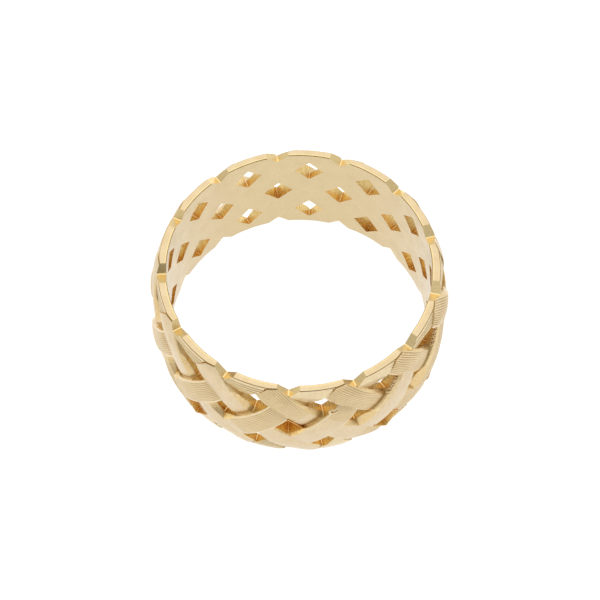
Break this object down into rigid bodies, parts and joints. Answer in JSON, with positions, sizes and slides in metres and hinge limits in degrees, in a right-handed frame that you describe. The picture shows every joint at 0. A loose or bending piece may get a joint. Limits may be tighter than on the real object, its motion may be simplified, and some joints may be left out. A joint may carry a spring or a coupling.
{
  "type": "openwork band ring",
  "caption": "Wide openwork finger ring in cast yellow gold: a flat strap plaited over and under itself round the band, with lozenge piercings and scalloped rims.",
  "frame": {"origin": "centre of the finger hole on the plane of the lower rim, which the ring lies on", "axes": "+Z along the axis of the finger hole, upwards from the lower rim; +X through the middle of one turn of the plait, where a piercing of each outer row lies"},
  "size_m": [0.0195, 0.0196, 0.0082],
  "materials": {
    "yellow_gold": "cast 14 carat yellow gold, satin and engraved on the straps, polished on the rims"
  },
  "bodies": {
    "root": {"band": "yellow_gold"}
  },
  "joints": []
}
